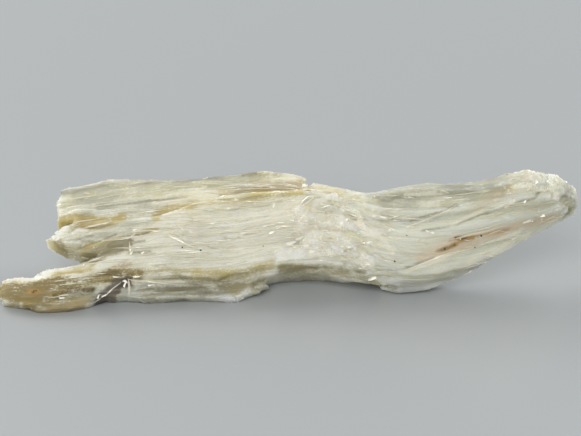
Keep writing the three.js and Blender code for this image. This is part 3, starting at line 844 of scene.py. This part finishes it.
# Facets that lie square to the light and flash: mm along, share up the face, heading, length and width.
FLASH = Vector((-0.11, -0.89, 0.44))  # the way they face
PROUD = 0.08  # mm that they stand off the skin
for x, share, heading, long, wide in (
    (-21.5, 0.22, 20, 0.4, 0.2), (-19.5, 0.46, -10, 0.3, 0.15), (-19.4, 0.07, 5, 0.5, 0.12),
    (-16.1, 0.49, 10, 0.3, 0.15), (-16.3, 0.06, 60, 0.4, 0.15), (-14.9, 0.18, 0, 0.5, 0.15),
    (-14.1, 0.16, -30, 0.5, 0.25), (-14.1, 0.12, 70, 0.5, 0.2), (-13.1, 0.17, 5, 0.6, 0.15),
    (-13.6, 0.36, 60, 0.4, 0.15), (-12.6, 0.36, 40, 0.3, 0.15), (-13.4, 0.56, 10, 0.4, 0.15),
    (-11.9, 0.11, 5, 0.5, 0.12), (-4.4, 0.0, 10, 0.7, 0.2), (-1.5, 0.46, 15, 0.5, 0.2),
    (-1.3, 0.70, 60, 0.4, 0.15), (0.1, 0.36, 25, 0.9, 0.3), (1.1, 0.42, 30, 0.6, 0.25),
    (0.6, 0.97, 0, 0.6, 0.2), (1.4, 0.95, 10, 0.5, 0.25), (2.0, 0.29, 0, 0.5, 0.25),
    (5.6, 0.93, 20, 0.6, 0.2), (6.1, 0.23, -10, 0.7, 0.35), (6.8, 0.23, 10, 0.4, 0.25),
    (10.3, 0.68, 15, 0.4, 0.2), (18.7, 0.77, 30, 0.7, 0.15), (19.7, 0.38, 25, 0.8, 0.2),
    (20.2, 0.79, 60, 0.3, 0.2), (20.5, 0.54, 5, 0.7, 0.3), (20.9, 0.53, 0, 0.4, 0.25),
    (21.9, 0.59, 0, 0.4, 0.3), (22.6, 0.98, 30, 0.5, 0.2), (2.2, 0.66, -30, 0.6, 0.2),
    (3.4, 0.71, 20, 0.5, 0.15), (-8.7, 0.36, -20, 0.3, 0.12), (7.5, 0.45, 15, 0.6, 0.15),
):
    spot = skin_at(x, share)
    if spot:
        lay_flake(spot[0] + FLASH * (PROUD * MM), FLASH, heading, long, wide, 0.0)
# Threads that stand out white, one by one: their width, and the (mm along, share up) places they run through,
# on the left half, the clear shard's edges, the elbow and the right half.
for wide, *path in (
    (0.12, (-17.1, 0.39), (-15.4, 0.43), (-13.8, 0.46), (-12.4, 0.475), (-11.6, 0.47)),
    (0.09, (-16.9, 0.41), (-15.2, 0.455), (-13.6, 0.485), (-11.8, 0.50)),
    (0.14, (-11.2, 0.51), (-9.9, 0.46), (-8.6, 0.39), (-7.7, 0.36)),
    (0.12, (-10.1, 0.60), (-9.3, 0.54), (-8.2, 0.45)),
    (0.10, (-10.6, 0.53), (-9.6, 0.49), (-8.9, 0.44)),
    (0.14, (-13.8, 0.46), (-13.7, 0.40), (-13.6, 0.33)),
    (0.12, (-20.7, 0.55), (-18.7, 0.47), (-16.4, 0.41)),
    (0.10, (-20.2, 0.58), (-18.4, 0.51), (-15.8, 0.45)),
    (0.10, (-13.2, 0.54), (-13.5, 0.51), (-14.0, 0.48)),
    (0.12, (-19.9, 0.69), (-19.2, 0.65), (-18.6, 0.62), (-17.3, 0.59)),
    (0.16, (-16.57, 0.03), (-16.31, 0.09), (-15.79, 0.17), (-15.01, 0.17), (-14.22, 0.17), (-12.92, 0.17)),
    (0.20, (-13.79, 0.17), (-13.7, 0.11), (-13.7, 0.05)),
    (0.14, (-15.79, 0.02), (-14.83, 0.0), (-13.35, 0.04)),
    (0.12, (-14.22, 0.18), (-12.92, 0.15), (-11.61, 0.13), (-10.31, 0.11)),
    (0.08, (-20.75, 0.05), (-19.44, 0.09), (-17.97, 0.09)),
    (0.12, (-16.9, 0.03), (-15.36, 0.08), (-14.31, 0.15)),
    (0.14, (1.0, 0.71), (1.6, 0.79), (2.9, 0.86)),
    (0.12, (1.9, 0.65), (2.9, 0.72), (4.0, 0.78), (6.0, 0.78), (6.3, 0.67)),
    (0.12, (4.1, 0.52), (4.7, 0.51), (5.4, 0.50)),
    (0.12, (7.1, 0.45), (7.4, 0.455), (7.8, 0.45)),
    (0.10, (8.0, 0.19), (9.9, 0.24), (11.4, 0.31), (13.2, 0.38), (14.9, 0.42)),
    (0.10, (6.8, 0.75), (8.8, 0.75), (10.6, 0.85)),
    (0.10, (10.1, 0.68), (11.9, 0.75), (14.9, 0.88)),
    (0.10, (-9.9, 0.29), (-7.7, 0.28), (-5.5, 0.28)),
    (0.10, (-4.2, 0.70), (-2.3, 0.72), (-0.3, 0.74)),
    (0.10, (-6.4, 0.50), (-4.2, 0.50), (-2.3, 0.48)),
    (0.10, (13.6, 0.53), (15.8, 0.56), (18.4, 0.55)),
    (0.12, (1.0, 0.92), (2.7, 0.93), (4.9, 0.97)),
):
    lay_thread(path, wide)
# The rest are strewn: threads along the grain and across the elbow, then flakes.
strew_threads(110, (-20.5, 0.0), (0.30, 1.0), (1.0, 4.0), (0.05, 0.11), 0.08)
strew_threads(14, (-24.5, -3.0), (0.0, 0.32), (0.6, 1.6), (0.04, 0.08), 0.10)
strew_threads(40, (0.0, 8.0), (0.12, 0.98), (0.8, 2.4), (0.06, 0.12), 0.7)
strew_threads(50, (6.0, 22.5), (0.05, 1.0), (1.0, 3.0), (0.04, 0.08), 0.06)
lift_flakes(24, (0.0, 8.5), (0.15, 0.95), (0.0, 5.0), (0.3, 0.7), (0.10, 0.2), 35, 0.1)
lift_flakes(40, (-14.0, -1.0), (0.35, 0.80), (0.5, 5.0), (0.3, 0.8), (0.06, 0.15), 12, 0.08)
lift_flakes(30, (-21.5, -17.5), (0.3, 1.0), (-2.0, 5.0), (0.3, 0.8), (0.08, 0.2), 20, 0.15)
lift_flakes(40, (18.5, 22.8), (0.85, 1.05), (-2.0, 5.0), (0.2, 0.6), (0.1, 0.25), 50, 0.15)
lift_flakes(10, (-24.5, -15.0), (0.20, 0.40), (0.0, 5.0), (0.2, 0.5), (0.08, 0.15), 40, 0.1)
lift_flakes(40, (8.0, 22.0), (0.05, 0.5), (-0.5, 5.0), (0.3, 0.8), (0.08, 0.2), 15, 0.06)
lift_flakes(50, (-20.0, 3.0), (0.85, 1.05), (-2.5, 5.0), (0.3, 0.9), (0.06, 0.18), 12, 0.06)
lift_flakes(30, (8.0, 20.0), (0.6, 1.05), (-2.5, 5.0), (0.3, 0.9), (0.06, 0.18), 12, 0.05)
lift_flakes(80, (-22.0, 22.0), (0.1, 1.0), (-9.0, -1.5), (0.4, 1.2), (0.08, 0.25), 15, 0.08)
# Small bright chips: strewn over the crest and the right end.
lift_flakes(70, (-20.0, 2.0), (0.55, 1.0), (0.0, 5.0), (0.15, 0.3), (0.08, 0.2), 60, 0.3)
lift_flakes(60, (1.0, 22.5), (0.3, 1.0), (-0.5, 5.0), (0.15, 0.35), (0.08, 0.25), 60, 0.3)
lift_flakes(70, (21.5, 25.2), (0.2, 1.0), (-1.5, 5.0), (0.15, 0.4), (0.08, 0.25), 60, 0.3)
bpy.data.meshes.remove(chip)
bpy.data.meshes.remove(thread)
above_table(flakes_bm)
flakes = mesh_object("lifted_flakes", flakes_bm)
# Thin cleavage flakes of leiteite, as split: glossier than the mass, and part of the light goes through.
glassy = finish("leiteite_flake_clear", Base_Color=linear("#EFEBD6"), Roughness=0.2, IOR=1.87,
                Transmission_Weight=0.2)
flakes.data.materials.append(glassy)
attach(flakes, "root")

# --------------------------------------------------------------------------------------------------
# Crust grains: crushed cleavage, white as sugar, caught where the plates were bruised, on the left crust, at
# the elbow and on the right end. They are small angular grains of the same leiteite, sunk half into the skin.

seed_bm = bmesh.new()
bmesh.ops.create_icosphere(seed_bm, subdivisions=1, radius=0.5)
seed = bpy.data.meshes.new("grain")
seed_bm.to_mesh(seed)
seed_bm.free()


def strew(bm, spots, size, draw):
    """Adds a small angular grain at each spot, turned at random. size is its least and most mm across."""
    for spot in spots:
        angle = draw.uniform(0, 6.28)
        turn = Matrix.Rotation(angle, 3, Vector((draw.gauss(0, 1), draw.gauss(0, 1), draw.gauss(0, 1))))
        stretch = Matrix.Diagonal([draw.uniform(*size) * MM * draw.uniform(0.5, 1.3) for _ in range(3)])
        for v in copy_into(bm, seed):
            v.co = spot + turn @ stretch @ v.co


draw = random.Random("crust")
GRAINS = 1000
CRUSTY = 0.45  # how white the skin has to be to hold a grain
crusty = np.nonzero(marks["white"] * np.clip(depth + 3.0, 0, 1) > CRUSTY)[0]
crust_bm = bmesh.new()
strew(crust_bm, [mass.data.vertices[int(draw.choice(crusty))].co for _ in range(GRAINS)], (0.06, 0.18), draw)
above_table(crust_bm)
crust = mesh_object("crust_grains", crust_bm)
# Crushed leiteite: the same crystal, white because its many broken faces scatter the light.
sugar = finish("leiteite_crushed_white", Base_Color=linear("#F0EDDE"), Roughness=0.4, IOR=1.87)
crust.data.materials.append(sugar)
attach(crust, "root")

# --------------------------------------------------------------------------------------------------
# Dark specks: a few grains of the dark ore that the sliver grew in, the size of dust, stuck on its skin: in
# the rust streak, on the right end's crest, at the tongue's tip, on the broad face and under the elbow.

SPECKS = (
    (13.5, 0.45), (14.4, 0.55), (16.6, 0.52), (16.1, 0.41), (19.4, 1.0), (21.4, 1.0),
    (6.5, 0.46), (10.2, 0.60), (9.2, 0.33), (-20.5, 0.58), (-20.1, 0.56), (-9.2, 0.38),
    (-7.6, 0.35), (-2.2, 0.35), (8.0, 0.05), (7.2, 0.04), (8.6, 0.06), (-21.8, 0.11),
)
specks_bm = bmesh.new()
spots = [skin_at(x, share) for x, share in SPECKS]
strew(specks_bm, [spot for spot, _ in filter(None, spots)], (0.12, 0.22), random.Random("specks"))
bpy.data.meshes.remove(seed)
specks = mesh_object("ore_specks", specks_bm)
# Sulphide ore, dark brown, and dull with dust.
specks.data.materials.append(finish("ore_dark_dusty", Base_Color=linear("#2E2A20"), Roughness=0.7))
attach(specks, "root")

# --------------------------------------------------------------------------------------------------
# The table: a pale grey polished board that mirrors the specimen faintly, under plain white studio light from
# two softboxes behind it and one in front.
bm = bmesh.new()
bmesh.ops.create_grid(bm, x_segments=1, y_segments=1, size=2.0)
table = mesh_object("table", bm)
table.data.materials.append(finish("board_grey_polished", Base_Color=linear("#AAAEAF"), Roughness=0.25))

world = bpy.data.worlds.new("studio")
bpy.context.scene.world = world
world.use_nodes = True
world.node_tree.nodes["Background"].inputs["Color"].default_value = linear("#FFFFFF")
world.node_tree.nodes["Background"].inputs["Strength"].default_value = 0.33
bpy.context.scene.view_settings.view_transform = "Standard"
MIDDLE = Vector((0, 0, 0.005))


def softbox(name, place, size, power):
    """A soft white light that points at the specimen."""
    light = bpy.data.lights.new(name, "AREA")
    light.shape = "RECTANGLE"
    light.size, light.size_y = size
    light.energy = power
    made = bpy.data.objects.new(name, light)
    made.location = place
    made.rotation_euler = (MIDDLE - Vector(place)).to_track_quat("-Z", "Y").to_euler()
    bpy.context.scene.collection.objects.link(made)


softbox("back_left", (-0.27, 0.25, 0.19), (0.34, 0.28), 1.22)
softbox("back_right", (0.27, 0.25, 0.19), (0.34, 0.28), 0.98)
softbox("front", (-0.1, -0.35, 0.28), (0.4, 0.3), 1.45)

# --------------------------------------------------------------------------------------------------
# The camera: a long lens, square to the specimen's length, that looks at its face from a little above. Its
# view is about as wide as the specimen, whose left tip touches the view's edge.
LENS = 120.0
SENSOR = 36.0
VIEW_WIDTH = 50.55 * MM
ELEVATION = math.radians(25)
camera = bpy.data.objects.new("camera", bpy.data.cameras.new("camera"))
camera.data.lens = LENS
camera.data.sensor_width = SENSOR
camera.data.clip_start = 0.001
camera.data.clip_end = 10
back = Vector((0, -math.cos(ELEVATION), math.sin(ELEVATION)))
TARGET = Vector((0.14, 0.01, 6.17)) * MM
camera.location = TARGET + back * (VIEW_WIDTH * LENS / SENSOR)
camera.rotation_euler = (-back).to_track_quat("-Z", "Y").to_euler()
bpy.context.scene.collection.objects.link(camera)
bpy.context.scene.camera = camera
